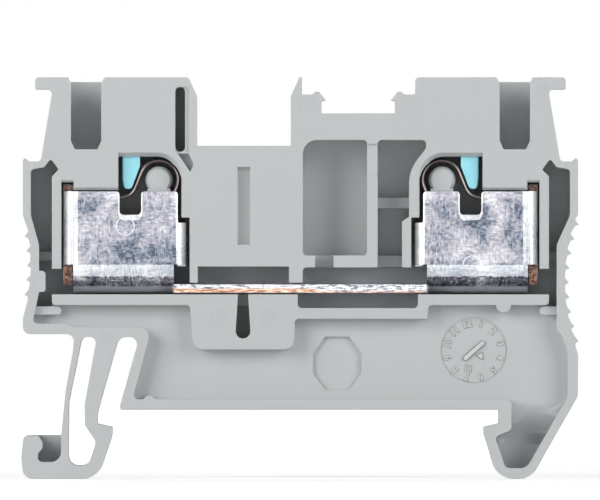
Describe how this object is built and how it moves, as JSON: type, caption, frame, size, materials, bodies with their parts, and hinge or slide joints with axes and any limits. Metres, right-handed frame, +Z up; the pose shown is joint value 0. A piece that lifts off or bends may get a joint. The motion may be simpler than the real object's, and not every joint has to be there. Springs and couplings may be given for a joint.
{
  "type": "feed-through terminal block",
  "caption": "Rail-mounted feed-through terminal block with push-in spring clamps, release buttons and a current bar in an open-sided housing.",
  "frame": {"origin": "middle of the 35 mm rail on the plane where the block sits on its lips, at mid width", "axes": "+X along the block, +Y across it from the open side to the closed back, +Z up and away from the rail"},
  "size_m": [0.0487, 0.0052, 0.0351],
  "materials": {
    "housing_plastic": "fine matt moulded surface",
    "tinned_copper": "mottled tin plate with bare copper at the cut edges",
    "spring_steel": "smooth rolled strip",
    "button_plastic": "satin moulded"
  },
  "bodies": {
    "housing": {"housing": "housing_plastic", "current_bar": "tinned_copper", "left_spring": "spring_steel", "right_spring": "spring_steel"},
    "left_button": {"left_button": "button_plastic"},
    "right_button": {"right_button": "button_plastic"}
  },
  "joints": [
    {"name": "left_button_press", "type": "slide", "parent": "housing", "child": "left_button", "axis": [0, 0, -1], "range_m": [0, 0.0017], "stiffness_N_per_m": 1500, "springref_m": -0.0005, "deforming": ["left_spring"]},
    {"name": "right_button_press", "type": "slide", "parent": "housing", "child": "right_button", "axis": [0, 0, -1], "range_m": [0, 0.0017], "stiffness_N_per_m": 1500, "springref_m": -0.0005, "deforming": ["right_spring"]}
  ]
}
